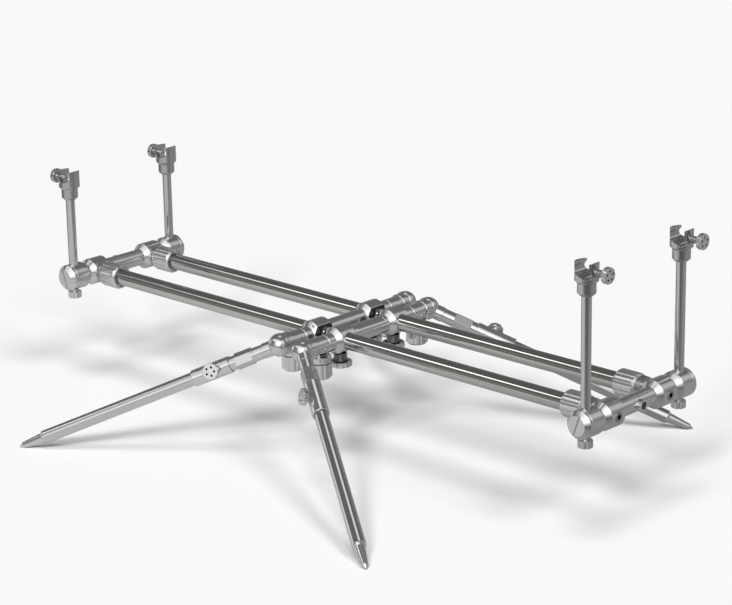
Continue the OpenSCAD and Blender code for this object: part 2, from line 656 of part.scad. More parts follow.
// Rod: screwed into the knuckle, with a spanner hexagon, a shoulder and a thinner tail
module rod(sx, sy) color(STEEL) at_leg(sx, sy) {
    rotate_extrude() polygon([
        [0, stub_reach - stub_thread_l + EPS], [stub_thread_d / 2 - fit, stub_reach - stub_thread_l + EPS],
        [stub_thread_d / 2 - fit, stub_reach], [rod_d / 2 - edge, stub_reach],
        [rod_d / 2, stub_reach + edge], [rod_d / 2, sleeve_start + shoulder_l - edge],
        [rod_d / 2 - edge, sleeve_start + shoulder_l], [tail_d / 2, sleeve_start + shoulder_l],
        [tail_d / 2, sleeve_start + shoulder_l + tail_l], [0, sleeve_start + shoulder_l + tail_l]]);
    translate([0, 0, hex_start]) cylinder(d = hex_flats / cos(30), h = hex_l, $fn = 6);
}

// Moves its children to a leg's telescoping part, with z = 0 at the sleeve's top
module at_sleeve(sx, sy) at_leg(sx, sy)
    translate([0, 0, sleeve_start + extension(sx, sy)]) children();

// Sleeve: fixed on the lower tube, slides on the rod
module sleeve(sx, sy) color(BRIGHT_STEEL) at_sleeve(sx, sy) difference() {
    chamfered_disc(sleeve_d, sleeve_l, edge);
    translate([0, 0, -EPS]) cylinder(d = rod_d + 2 * fit, h = tube_seat + EPS);
    translate([0, 0, tube_seat]) cylinder(d = lower_d + 2 * fit, h = sleeve_l);
    for (z = [-EPS, sleeve_l - sleeve_recess]) translate([0, 0, z])
        cylinder(d = sleeve_d - 2 * sleeve_lip, h = sleeve_recess + EPS);
    translate([0, 0, sleeve_knob_place]) rotate([90, 0, 0]) cylinder(d = knob_screw_d, h = sleeve_d);
}

// Sleeve knob: the drilled knob that locks the leg's length
module sleeve_knob(sx, sy) color(BRIGHT_STEEL) at_sleeve(sx, sy)
    translate([0, -sleeve_d / 2 - gap - sleeve_knob_neck, sleeve_knob_place]) rotate([90, 0, 0])
        drilled_knob(sleeve_knob_d, sleeve_neck_d, sleeve_knob_neck,
            sleeve_d / 2 + sleeve_knob_neck - rod_d / 2);

// Lower tube: the outer half of the telescope
module lower_tube(sx, sy) color(STEEL) at_sleeve(sx, sy) translate([0, 0, tube_seat]) difference() {
    cylinder(d = lower_d, h = lower_l);
    translate([0, 0, -EPS]) cylinder(d = tail_d + 2 * fit, h = lower_l + 2 * EPS);
}

// Spike: screwed into the lower tube's end
module spike(sx, sy) color(BRIGHT_STEEL) at_sleeve(sx, sy) translate([0, 0, tube_seat + lower_l]) {
    rotate_extrude() polygon([
        [0, -spike_grip], [tail_d / 2, -spike_grip], [tail_d / 2, 0], [lower_d / 2, 0],
        [lower_d / 2 - fine_edge, spike_rim],
        [spike_root_d / 2, spike_rim + lower_d / 2 - fine_edge - spike_root_d / 2],
        [spike_tip_d / 2, spike_l - spike_point_l], [0.9 * point_r, spike_end], [0, spike_end]]);
    translate([0, 0, spike_l - point_r]) sphere(r = point_r);
}

main_bar(-1);  // main_bar_near
main_bar(1);  // main_bar_far
crossbar(-1);  // crossbar_left
crossbar(1);  // crossbar_right
end_caps();
bar_bolts();
collar(-1, -1);  // collar_near_left
collar(1, -1);  // collar_near_right
collar(-1, 1);  // collar_far_left
collar(1, 1);  // collar_far_right
upright(-1, -1);  // upright_near_left
upright(1, -1);  // upright_near_right
upright(-1, 1);  // upright_far_left
upright(1, 1);  // upright_far_right
head(-1, -1);  // head_near_left
head(1, -1);  // head_near_right
head(-1, 1);  // head_far_left
head(1, 1);  // head_far_right
head_knob(-1, -1);  // head_knob_near_left
head_knob(1, -1);  // head_knob_near_right
head_knob(-1, 1);  // head_knob_far_left
head_knob(1, 1);  // head_knob_far_right
foot_screw(-1, -1);  // foot_screw_near_left
foot_screw(1, -1);  // foot_screw_near_right
foot_screw(-1, 1);  // foot_screw_far_left
foot_screw(1, 1);  // foot_screw_far_right
hub(-1);  // hub_left
hub(1);  // hub_right
bar_clamp(-1, -1);  // bar_clamp_near_left
bar_clamp(1, -1);  // bar_clamp_near_right
bar_clamp(-1, 1);  // bar_clamp_far_left
bar_clamp(1, 1);  // bar_clamp_far_right
leg_lock(-1, -1);  // leg_lock_near_left
leg_lock(1, -1);  // leg_lock_near_right
leg_lock(-1, 1);  // leg_lock_far_left
leg_lock(1, 1);  // leg_lock_far_right
knuckle(-1, -1);  // knuckle_near_left
knuckle(1, -1);  // knuckle_near_right
knuckle(-1, 1);  // knuckle_far_left
knuckle(1, 1);  // knuckle_far_right
rod(-1, -1);  // rod_near_left
rod(1, -1);  // rod_near_right
rod(-1, 1);  // rod_far_left
rod(1, 1);  // rod_far_right
sleeve(-1, -1);  // sleeve_near_left
sleeve(1, -1);  // sleeve_near_right
sleeve(-1, 1);  // sleeve_far_left
sleeve(1, 1);  // sleeve_far_right
sleeve_knob(-1, -1);  // sleeve_knob_near_left
sleeve_knob(1, -1);  // sleeve_knob_near_right
sleeve_knob(-1, 1);  // sleeve_knob_far_left
sleeve_knob(1, 1);  // sleeve_knob_far_right
lower_tube(-1, -1);  // lower_tube_near_left
lower_tube(1, -1);  // lower_tube_near_right
lower_tube(-1, 1);  // lower_tube_far_left
lower_tube(1, 1);  // lower_tube_far_right
spike(-1, -1);  // spike_near_left
spike(1, -1);  // spike_near_right
spike(-1, 1);  // spike_far_left
spike(1, 1);  // spike_far_right
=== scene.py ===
"""Looks for the rod pod: turned and ground stainless steel, screw threads, and a pale studio."""
import json
import math

import bpy
from mathutils import Matrix, Vector


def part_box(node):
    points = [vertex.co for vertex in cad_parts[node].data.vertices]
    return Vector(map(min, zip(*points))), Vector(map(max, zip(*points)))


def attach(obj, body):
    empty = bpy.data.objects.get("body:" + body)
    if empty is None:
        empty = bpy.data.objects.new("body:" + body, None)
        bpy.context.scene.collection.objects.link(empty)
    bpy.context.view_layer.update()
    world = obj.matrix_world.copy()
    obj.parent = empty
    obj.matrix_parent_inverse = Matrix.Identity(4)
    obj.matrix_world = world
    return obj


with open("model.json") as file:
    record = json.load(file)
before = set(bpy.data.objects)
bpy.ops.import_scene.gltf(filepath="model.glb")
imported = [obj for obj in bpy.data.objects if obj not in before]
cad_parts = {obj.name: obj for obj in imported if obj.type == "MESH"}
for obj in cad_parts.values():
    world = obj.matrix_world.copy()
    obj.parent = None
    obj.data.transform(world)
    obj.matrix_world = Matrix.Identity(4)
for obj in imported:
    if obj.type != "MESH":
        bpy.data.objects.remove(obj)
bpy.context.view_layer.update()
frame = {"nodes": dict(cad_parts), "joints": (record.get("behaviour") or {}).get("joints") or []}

bl_info = {
    "name": "Rod pod dressing",
    "version": (1, 0, 0),
    "blender": (4, 5, 0),
    "location": "3D View > Sidebar > Rod pod",
    "description": "Steel finishes, screw threads and a studio for the rod pod",
    "category": "Object",
}

MM = 0.001
SIDES = ("left", "right")
CORNERS = ("near_left", "near_right", "far_left", "far_right")
JOINTS = {j["name"]: j for j in frame["joints"]}

# Camera: focal length in pixels of the photograph, and a full-frame sensor
PHOTO_WIDTH = 732
FOCAL_PIXELS = 2595.0
SENSOR_WIDTH = 36.0
VIEW_LIMIT = 100.0

# Suns: name, width, azimuth from +X and elevation in degrees
SUNS = (
    ("front", 12.0, -66.0, 36.8),
    ("side", 18.0, -9.7, 44.4),
    ("top", 22.0, -62.5, 72.0),
)
# Soft lamps that only the steel shows: azimuth, elevation, inner and outer radius in degrees, light
ROOM_LAMPS = (
    (-66, 33, 18, 42, 1.15),
    (-54, 32, 8, 20, 0.9),
    (-118, 51, 5, 17, 0.9),
    (-8, 40, 10, 24, 0.8),
    (58, 33, 5, 20, 0.5),
    (130, 69, 5, 14, 0.9),
    (-172, 4, 5, 20, 0.75),
    (-146, 40, 2, 7, 2.6),
)
# Height on a unit sphere at which the horizon's light has become the ceiling's
CEILING_RISE = 0.5
# The floor: half its side, and how the steel shows it. What the steel sees of it is painted: the
# paper, dimmed, has faded out at its reach times PAPER_END, and the dim floor beyond, painted as
# light falling off and as shade, changes between two places on Y, its levels in horizons.
FLOOR_HALF = 14.0
PAPER_END = 1.9
BEYOND_Y = (-0.55, 0.3)
BEYOND_LEVELS = (0.42, 1.15)

# Turning: spacing of the lines; those on an end face are FACE_LINES times as close, and a band is
# BAND_LINES of them wide
TOOL_PITCH = 0.22 * MM
FACE_LINES = 1.7
BAND_LINES = 14.0
# Drawing: how many times finer the grain is than the streaks
GRAIN_FINENESS = 4.0
EDGE_RADIUS = 0.45 * MM
# Noise values between which streaks, smears and scratches grow from none to full
STREAK_RANGE = (0.3, 0.7)
SMEAR_RANGE = (0.32, 0.72)
SCRATCH_RANGE = (0.63, 0.7)
# How far a rounded normal bends where an edge starts to show, and where it shows fully
EDGE_RANGE = (0.004, 0.08)

# Factors on a steel's colour, and how much of smears and edges shows
BAND_SHADES = (0.95, 1.04)
SMEAR_SHADE, SMEAR_SHARE = 0.8, 0.12
# The paler edges are partly worn metal and partly a painted highlight
EDGE_SHADE, EDGE_SHARE = 1.45, 0.8
# HOLE_SHADE is painted shade: near black in recesses, holes and narrow gaps between parts
HOLE_SHADE = 0.04
# What bands, smears and scratches add to the roughness
BAND_ROUGH, SMEAR_ROUGH, SCRATCH_ROUGH = 0.02, 0.03, 0.05
# Depth of drawn and turned marks, and of a scratch as a share of it
DRAWN_DEPTH, TURNED_DEPTH = 0.0015 * MM, 0.003 * MM
SCRATCH_DEPTH = -0.35

# Drilled knobs: how far under the face painted shade starts on a hole's wall, and where the rim
# starts and the holes end, in radii
RIM_DEPTH = 0.3 * MM
RIM_START = 0.8
HOLE_REACH = 0.74
# Boxes of painted shade: a bolt's socket, its middle in from the outer face and half its size, and
# half the width of the one round a bar clamp's neck
SOCKET_DEPTH = 2.55 * MM
SOCKET_HALF = Vector((2.2, 3.6, 3.6)) * MM
CLAMP_NECK_HALF = 9 * MM

# Threads: half the ridge's width, and the gap left at each end, in pitches
RIDGE_HALF = 0.46
END_GAP = 0.7


# Places read from the frame

def middle(node):
    """Middle of a CAD node's box."""
    low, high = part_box(node)
    return (low + high) / 2


def joint_line(name):
    """A point on a joint's axis, or None for a slide, and its direction."""
    joint = JOINTS[name]
    return joint.get("pos_m"), Vector(joint["axis"]).normalized()


BAR_HEIGHT = middle("main_bar_near").z
BAR_REACH = {side: middle(f"upright_near_{side}").x for side in SIDES}
HUB_AXIS = {side: middle(f"bar_clamp_near_{side}").x for side in SIDES}
# Painted shade in one quarter of the pod, in gaps, holes and slots: middle and half size of a box
INNER_FACE_SHADE = (Vector((0, 50 * MM, BAR_HEIGHT)), Vector((7.8, 16.5, 18.5)) * MM)
SET_HOLE_SHADE = (Vector((13.44 * MM, 64.15 * MM, BAR_HEIGHT + 12.38 * MM)),
             Vector((0.95, 0.95, 0.95)) * MM)
LOCK_SLOT_SHADE = (Vector((34.35 * MM, 91 * MM, BAR_HEIGHT - 8.7 * MM)), Vector((5.1, 6.6, 2.1)) * MM)
AXES = {"x": Vector((1, 0, 0)), "y": Vector((0, 1, 0)), "z": Vector((0, 0, 1))}


def way(azimuth, elevation):
    """Unit direction from an azimuth and an elevation in degrees."""
    a, e = math.radians(azimuth), math.radians(elevation)
    return Vector((math.cos(a) * math.cos(e), math.sin(a) * math.cos(e), math.sin(e)))


# Sizes and colours that a user would change

def colour_prop(name, description, value):
    return bpy.props.FloatVectorProperty(
        name=name, description=description, default=value, size=3,
        subtype="COLOR", min=0.0, max=1.0)


def length_prop(name, description, value):
    return bpy.props.FloatProperty(
        name=name, description=description, default=value, min=0.0,
        unit="LENGTH", subtype="DISTANCE", precision=5)


def share_prop(name, description, value):
    return bpy.props.FloatProperty(
        name=name, description=description, default=value, min=0.0, max=1.0, subtype="FACTOR")


class PodFinish(bpy.types.PropertyGroup):
    """Colours, roughness and sheen of the steels"""
    bar_colour: colour_prop("Bar steel", "Ground tube of the main bars", (0.60, 0.595, 0.575))
    rod_colour: colour_prop("Rod steel", "Uprights and legs", (0.64, 0.645, 0.65))
    body_colour: colour_prop("Body steel", "Crossbars, hubs and knuckles", (0.68, 0.69, 0.70))
    head_colour: colour_prop("Head steel", "Fork heads on the uprights", (0.54, 0.55, 0.56))
    knob_colour: colour_prop("Knob steel", "Knobs and sleeves", (0.70, 0.71, 0.72))
    collar_colour: colour_prop("Collar steel", "Coupling collars", (0.72, 0.73, 0.735))
    bolt_colour: colour_prop("Bolt steel", "Socket screws and threads", (0.42, 0.42, 0.425))
    bar_roughness: share_prop("Bar roughness", "Roughness of the main bars", 0.10)
    rod_roughness: share_prop("Rod roughness", "Roughness of uprights and legs", 0.10)
    body_roughness: share_prop("Body roughness", "Roughness of the turned bodies", 0.18)
    head_roughness: share_prop("Head roughness", "Roughness of the fork heads", 0.14)
    knob_roughness: share_prop("Knob roughness", "Roughness of the knobs", 0.15)
    collar_roughness: share_prop("Collar roughness", "Roughness of the coupling collars", 0.23)
    bolt_roughness: share_prop("Bolt roughness", "Roughness of screws and threads", 0.32)
    bar_sheen: share_prop("Bar sheen", "Share of mirror light on the main bars", 1.0)
    rod_sheen: share_prop("Rod sheen", "Share of mirror light on uprights and legs", 0.97)
    body_sheen: share_prop("Body sheen", "Share of mirror light on the turned bodies", 0.95)
    head_sheen: share_prop("Head sheen", "Share of mirror light on the fork heads", 0.97)
    knob_sheen: share_prop("Knob sheen", "Share of mirror light on the knobs", 0.95)
    collar_sheen: share_prop("Collar sheen", "Share of mirror light on the collars", 0.92)
    bolt_sheen: share_prop("Bolt sheen", "Share of mirror light on screws and threads", 1.0)
    line_pitch: length_prop("Tool line pitch", "Spacing of the turning lines", TOOL_PITCH)
    edge_radius: length_prop("Edge radius", "Radius of the broken edges", EDGE_RADIUS)


class PodThreads(bpy.types.PropertyGroup):
    """Sizes of the screw threads that show"""
    neck_pitch: length_prop("Neck pitch", "Pitch on the crossbars' threaded necks", 1.5 * MM)
    neck_radius: length_prop("Neck radius", "Radius of the ridge on a threaded neck", 14.2 * MM)
    screw_pitch: length_prop("Screw pitch", "Pitch on the knobs' screws", 1.25 * MM)
    screw_radius: length_prop("Screw radius", "Radius of the ridge on a knob's screw", 3.9 * MM)
    clamp_pitch: length_prop("Clamp pitch", "Pitch on the bar clamps' necks", 1.5 * MM)
    clamp_radius: length_prop("Clamp radius", "Radius of the ridge on a clamp's neck", 7.9 * MM)
    barrel_radius: length_prop("Barrel radius", "Where a threaded neck leaves its barrel", 18 * MM)
    face_thickness: length_prop("Face thickness", "Thickness of knobs and clamp discs", 6.5 * MM)


class PodStudio(bpy.types.PropertyGroup):
    """Floor, lamps and camera"""
    floor_colour: colour_prop("Floor", "Colour of the floor", (0.955, 0.957, 0.957))
    paper_middle: bpy.props.FloatVectorProperty(
        name="Paper middle", description="Middle of the pale paper as the steel shows it",
        default=(-0.3, -0.75, 0.0), subtype="TRANSLATION", unit="LENGTH")
    paper_reach: length_prop("Paper reach", "Where the paper starts to fade in the steel", 0.6)
    paper_share: share_prop("Paper share", "How bright the paper shows in the steel", 0.70)
    ambient: share_prop("Ambient", "Scattered light of the room", 0.15)
    horizon: share_prop("Horizon", "Light of the room's horizon in the steel", 0.30)
    ceiling: share_prop("Ceiling", "Light of the room's ceiling in the steel", 0.14)
    front_strength: bpy.props.FloatProperty(
        name="Front lamp", description="Soft lamp beside the camera", default=1.5, min=0.0)
    side_strength: bpy.props.FloatProperty(
        name="Side lamp", description="Soft lamp on the right", default=1.25, min=0.0)
    top_strength: bpy.props.FloatProperty(
        name="Top lamp", description="Broad lamp over the object", default=0.9, min=0.0)
    azimuth: bpy.props.FloatProperty(
        name="Azimuth", description="Camera's turn round the object",
        default=math.radians(43.469), subtype="ANGLE", unit="ROTATION")
    elevation: bpy.props.FloatProperty(
        name="Elevation", description="Camera's angle over the horizon",
        default=math.radians(17.517), subtype="ANGLE", unit="ROTATION")
    roll: bpy.props.FloatProperty(
        name="Roll", description="Camera's lean",
        default=math.radians(-0.993), subtype="ANGLE", unit="ROTATION")
    distance: length_prop("Distance", "Camera's distance from its target", 3.34238)
    target: bpy.props.FloatVectorProperty(
        name="Target", description="Point that the camera looks at",
        default=(0.01965, 0.0, 0.19113), subtype="TRANSLATION", unit="LENGTH")


# Node wiring

class Wiring:
    """Adds nodes to a tree and feeds their inputs from sockets or plain values."""

    def __init__(self, tree):
        self.tree = tree

    def feed(self, socket, value):
        if isinstance(value, bpy.types.NodeSocket):
            self.tree.links.new(value, socket)
        else:
            socket.default_value = value

    def node(self, kind, inputs=None, **settings):
        made = self.tree.nodes.new(kind)
        for key, value in settings.items():
            setattr(made, key, value)
        for key, value in (inputs or {}).items():
            self.feed(made.inputs[key], value)
        return made

    def math(self, operation, *values):
        made = self.node("ShaderNodeMath", operation=operation)
        for socket, value in zip(made.inputs, values):
            self.feed(socket, value)
        return made.outputs[0]

    def vector(self, operation, *values, out=0):
        made = self.node("ShaderNodeVectorMath", operation=operation)
        for socket, value in zip(made.inputs, values):
            self.feed(socket, value)
        return made.outputs[out]

    def scale(self, vector, factor):
        made = self.node("ShaderNodeVectorMath", operation="SCALE", inputs={0: vector})
        self.feed(made.inputs["Scale"], factor)
        return made.outputs[0]

    def blend(self, factor, first, second):
        """A mix of two colours, whose sockets come after those for numbers and vectors."""
        made = self.node("ShaderNodeMix", data_type="RGBA", inputs={"Factor": factor})
        self.feed(made.inputs[6], first)
        self.feed(made.inputs[7], second)
        return made.outputs[2]

    def spread(self, value, low, high, to_low, to_high):
        return self.node("ShaderNodeMapRange", inputs={
            "Value": value, "From Min": low, "From Max": high,
            "To Min": to_low, "To Max": to_high}).outputs[0]


def new_group(name, kind, inputs, outputs):
    """An empty node group with its named sockets, and its input and output nodes."""
    tree = bpy.data.node_groups.new(name, kind)
    for label, socket_type, value in inputs:
        socket = tree.interface.new_socket(label, in_out="INPUT", socket_type=socket_type)
        if value is not None:
            socket.default_value = value
    for label, socket_type in outputs:
        tree.interface.new_socket(label, in_out="OUTPUT", socket_type=socket_type)
    wiring = Wiring(tree)
    entry = wiring.node("NodeGroupInput")
    end = wiring.node("NodeGroupOutput")
    return wiring, entry.outputs, end.inputs


def turning_lines():
    """Fine lines left by turning: they follow the way along a centre line and out from it."""
    w, given, ends = new_group(
        "turning_lines", "ShaderNodeTree",
        [("Axis", "NodeSocketVector", (0, 0, 1)), ("Centre", "NodeSocketVector", (0, 0, 0)),
         ("Pitch", "NodeSocketFloat", TOOL_PITCH)],
        [("Lines", "NodeSocketFloat"), ("Bands", "NodeSocketFloat")])
    place = w.node("ShaderNodeTexCoord").outputs["Object"]
    arm = w.vector("SUBTRACT", place, given["Centre"])
    along = w.vector("DOT_PRODUCT", arm, given["Axis"], out=1)
    out_from = w.vector("LENGTH", w.vector("SUBTRACT", arm, w.scale(given["Axis"], along)), out=1)
    travel = w.math("ADD", along, w.math("MULTIPLY", out_from, FACE_LINES))
    fine = w.node("ShaderNodeTexNoise", noise_dimensions="1D", inputs={
        "W": w.math("DIVIDE", travel, given["Pitch"]), "Scale": 1.0, "Detail": 2.0,
        "Roughness": 0.6})
    wide = w.node("ShaderNodeTexNoise", noise_dimensions="1D", inputs={
        "W": w.math("DIVIDE", travel, w.math("MULTIPLY", given["Pitch"], BAND_LINES)),
        "Scale": 1.0, "Detail": 3.0, "Roughness": 0.55})
    w.feed(ends["Lines"], fine.outputs[0])
    w.feed(ends["Bands"], wide.outputs[0])
    return w.tree


def drawn_streaks():
    """Faint streaks that run lengthwise along a drawn and ground bar or tube."""
    w, given, ends = new_group(
        "drawn_streaks", "ShaderNodeTree",
        [("Axis", "NodeSocketVector", (0, 0, 1)), ("Centre", "NodeSocketVector", (0, 0, 0)),
         ("Streaks Round", "NodeSocketFloat", 16.0), ("Streaks Along", "NodeSocketFloat", 9.0)],
        [("Streaks", "NodeSocketFloat"), ("Grain", "NodeSocketFloat")])
    place = w.node("ShaderNodeTexCoord").outputs["Object"]
    arm = w.vector("SUBTRACT", place, given["Centre"])
    along = w.vector("DOT_PRODUCT", arm, given["Axis"], out=1)
    on_axis = w.scale(given["Axis"], along)
    round_it = w.vector("NORMALIZE", w.vector("SUBTRACT", arm, on_axis))
    lattice = w.vector("ADD", w.scale(round_it, given["Streaks Round"]),
                       w.scale(on_axis, given["Streaks Along"]))
    broad = w.node("ShaderNodeTexNoise", inputs={
        "Vector": lattice, "Scale": 1.0, "Detail": 2.0, "Roughness": 0.5})
    fine = w.node("ShaderNodeTexNoise", inputs={
        "Vector": w.scale(lattice, GRAIN_FINENESS), "Scale": 1.0, "Detail": 2.0,
        "Roughness": 0.6})
    w.feed(ends["Streaks"], w.spread(broad.outputs[0], *STREAK_RANGE, 0.0, 1.0))
    w.feed(ends["Grain"], fine.outputs[0])
    return w.tree


def handling_marks():
    """Smears and faint scratches that change over the surface, as on a tool in use."""
    w, given, ends = new_group(
        "handling_marks", "ShaderNodeTree",
        [("Smear Size", "NodeSocketFloat", 38.0), ("Scratch Size", "NodeSocketFloat", 160.0)],
        [("Smears", "NodeSocketFloat"), ("Scratches", "NodeSocketFloat")])
    place = w.node("ShaderNodeTexCoord").outputs["Object"]
    smears = w.node("ShaderNodeTexNoise", inputs={
        "Vector": place, "Scale": given["Smear Size"], "Detail": 4.0, "Roughness": 0.62,
        "Distortion": 0.6})
    w.feed(ends["Smears"], w.spread(smears.outputs[0], *SMEAR_RANGE, 0.0, 1.0))
    turned = w.node("ShaderNodeMapping", inputs={
        "Vector": place, "Rotation": (0.5, 0.9, 0.3), "Scale": (1.0, 9.0, 1.0)})
    hair = w.node("ShaderNodeTexNoise", inputs={
        "Vector": turned.outputs[0], "Scale": given["Scratch Size"], "Detail": 2.0,
        "Roughness": 0.5})
    w.feed(ends["Scratches"], w.spread(hair.outputs[0], *SCRATCH_RANGE, 0.0, 1.0))
    return w.tree


def broken_edges():
    """Rounded normals at sharp edges, and a mask of where they are."""
    w, given, ends = new_group(
        "broken_edges", "ShaderNodeTree",
        [("Radius", "NodeSocketFloat", EDGE_RADIUS)],
        [("Normal", "NodeSocketVector"), ("Edge", "NodeSocketFloat")])
    rounded = w.node("ShaderNodeBevel", samples=6, inputs={"Radius": given["Radius"]}).outputs[0]
    flat = w.node("ShaderNodeNewGeometry").outputs["Normal"]
    bend = w.math("SUBTRACT", 1.0, w.vector("DOT_PRODUCT", rounded, flat, out=1))
    w.feed(ends["Normal"], rounded)
    w.feed(ends["Edge"], w.spread(bend, *EDGE_RANGE, 0.0, 1.0))
    return w.tree


def box_shade():
    """Mask of a box and its copies in the pod's other quarters, for painted shade on faces and in
    holes.
    """
    w, given, ends = new_group(
        "box_shade", "ShaderNodeTree",
        [("Middle", "NodeSocketVector", (0, 0, 0)), ("Half Size", "NodeSocketVector", (1, 1, 1))],
        [("Mask", "NodeSocketFloat")])
    place = w.node("ShaderNodeTexCoord").outputs["Object"]
    quarter = w.vector("MULTIPLY", w.vector("ABSOLUTE", place), (1, 1, 0))
    height = w.vector("MULTIPLY", place, (0, 0, 1))
    arm = w.vector("SUBTRACT", w.vector("ADD", quarter, height), given["Middle"])
    inside = w.vector("SUBTRACT", given["Half Size"], w.vector("ABSOLUTE", arm))
    parts = w.node("ShaderNodeSeparateXYZ", inputs={0: inside}).outputs
    least = w.math("MINIMUM", w.math("MINIMUM", parts[0], parts[1]), parts[2])
    w.feed(ends["Mask"], w.math("GREATER_THAN", least, 0.0))
    return w.tree


def bore_shade():
    """Painted shade under a drilled face: mask of the walls and floors of its small holes."""
    w, given, ends = new_group(
        "bore_shade", "ShaderNodeTree",
        [("Axis", "NodeSocketVector", (0, 0, 1)), ("Face", "NodeSocketVector", (0, 0, 0)),
         ("Radius", "NodeSocketFloat", 8 * MM), ("Depth", "NodeSocketFloat", 4 * MM)],
        [("Mask", "NodeSocketFloat")])
    place = w.node("ShaderNodeTexCoord").outputs["Object"]
    arm = w.vector("SUBTRACT", place, given["Face"])
    along = w.vector("DOT_PRODUCT", arm, given["Axis"], out=1)
    out_from = w.vector("LENGTH", w.vector("SUBTRACT", arm, w.scale(given["Axis"], along)), out=1)
    under = w.math("LESS_THAN", along, -RIM_DEPTH)
    over = w.math("GREATER_THAN", along, w.math("MULTIPLY", given["Depth"], -1.0))
    inside = w.math("LESS_THAN", out_from, given["Radius"])
    w.feed(ends["Mask"], w.math("MULTIPLY", w.math("MULTIPLY", under, over), inside))
    return w.tree


def room_glow():
    """One soft lamp as it shows in the steel: a round glow about a direction of the room."""
    w, given, ends = new_group(
        "room_glow", "ShaderNodeTree",
        [("Way", "NodeSocketVector", (0, 0, 1)), ("Inner", "NodeSocketFloat", 0.99),
         ("Outer", "NodeSocketFloat", 0.95), ("Radiance", "NodeSocketFloat", 1.0)],
        [("Glow", "NodeSocketFloat")])
    direction = w.node("ShaderNodeTexCoord").outputs["Generated"]
    near = w.vector("DOT_PRODUCT", direction, given["Way"], out=1)
    glow = w.node("ShaderNodeMapRange", interpolation_type="SMOOTHSTEP", inputs={
        "Value": near, "From Min": given["Outer"], "From Max": given["Inner"]})
    w.feed(ends["Glow"], w.math("MULTIPLY", glow.outputs[0], given["Radiance"]))
    return w.tree


GROUPS = {}


def shared_group(maker):
    """The node group that the function builds, built once."""
    if maker.__name__ not in GROUPS:
        GROUPS[maker.__name__] = maker()
    return GROUPS[maker.__name__]


def steel(name, kind, axis, centre, boxes=(), drilled=None):
    """One steel of the finish list. Bars and rods are drawn, the rest is turned round the axis.
    The boxes and the bores under a drilled face get painted shade."""
    finish = bpy.context.scene.pod_finish
    colour = tuple(getattr(finish, f"{kind}_colour"))
    material = bpy.data.materials.new(name)
    material.use_nodes = True
    w = Wiring(material.node_tree)
    shader = material.node_tree.nodes["Principled BSDF"]
    shader.inputs["Metallic"].default_value = getattr(finish, f"{kind}_sheen")
    place = {"Axis": axis, "Centre": centre}
    if kind in ("bar", "rod"):
        lines = w.node("ShaderNodeGroup", node_tree=shared_group(drawn_streaks), inputs=place)
        broad, fine, depth = lines.outputs["Streaks"], lines.outputs["Grain"], DRAWN_DEPTH
    else:
        place["Pitch"] = finish.line_pitch
        lines = w.node("ShaderNodeGroup", node_tree=shared_group(turning_lines), inputs=place)
        broad, fine, depth = lines.outputs["Bands"], lines.outputs["Lines"], TURNED_DEPTH
    marks = w.node("ShaderNodeGroup", node_tree=shared_group(handling_marks))
    edges = w.node("ShaderNodeGroup", node_tree=shared_group(broken_edges), inputs={
        "Radius": finish.edge_radius})

    def shade(factor):
        return [min(1.0, c * factor) for c in colour] + [1.0]

    base = w.blend(broad, *(shade(factor) for factor in BAND_SHADES))
    smeared = w.math("MULTIPLY", marks.outputs["Smears"], SMEAR_SHARE)
    base = w.blend(smeared, base, shade(SMEAR_SHADE))
    # Paler edges: partly worn metal, partly a painted highlight where the edges catch light
    broken = w.math("MULTIPLY", edges.outputs["Edge"], EDGE_SHARE)
    base = w.blend(broken, base, shade(EDGE_SHADE))
    # Painted shade: near black in the boxes and in the bores under a drilled face
    shade_masks = [w.node("ShaderNodeGroup", node_tree=shared_group(box_shade), inputs={
        "Middle": spot, "Half Size": half}).outputs[0] for spot, half in boxes]
    if drilled:
        shade_masks.append(w.node("ShaderNodeGroup", node_tree=shared_group(bore_shade),
                            inputs=drilled).outputs[0])
    for mask in shade_masks:
        base = w.blend(mask, base, shade(HOLE_SHADE))
    w.feed(shader.inputs["Base Color"], base)
    rough = getattr(finish, f"{kind}_roughness") - BAND_ROUGH
    rough = w.math("MULTIPLY_ADD", broad, BAND_ROUGH, rough)
    rough = w.math("MULTIPLY_ADD", marks.outputs["Smears"], SMEAR_ROUGH, rough)
    rough = w.math("MULTIPLY_ADD", marks.outputs["Scratches"], SCRATCH_ROUGH, rough)
    w.feed(shader.inputs["Roughness"], rough)
    height = w.math("MULTIPLY_ADD", marks.outputs["Scratches"], SCRATCH_DEPTH, fine)
    bump = w.node("ShaderNodeBump", inputs={
        "Strength": 0.3, "Distance": depth, "Height": height,
        "Normal": edges.outputs["Normal"]})
    w.feed(shader.inputs["Normal"], bump.outputs[0])
    return material


def wear_steel(nodes, name, kind, axis, centre, **shades):
    """Gives CAD nodes one steel."""
    material = steel(name, kind, axis, centre, **shades)
    for node in nodes:
        materials = frame["nodes"][node].data.materials
        if not materials:
            materials.append(material)
        for i in range(len(materials)):
            materials[i] = material


def drilled_face(node, centre, axis):
    """Where a drilled knob's face lies, which way it looks and how far out its holes reach."""
    arms = [Vector(v.co) - Vector(centre) for v in frame["nodes"][node].data.vertices]
    spots = [(arm.dot(axis), (arm - axis * arm.dot(axis)).length) for arm in arms]
    radius = max(out for _, out in spots)
    wide = [along for along, out in spots if out > RIM_START * radius]
    low = min(along for along, _ in spots)
    # The screw stands out behind the rim, so the face is on the rim's other side
    looks, face = (1, max(wide)) if low < min(wide) - MM else (-1, min(wide))
    return {"Axis": axis * looks, "Face": Vector(centre) + axis * face,
            "Radius": HOLE_REACH * radius}


# Pieces made from trees

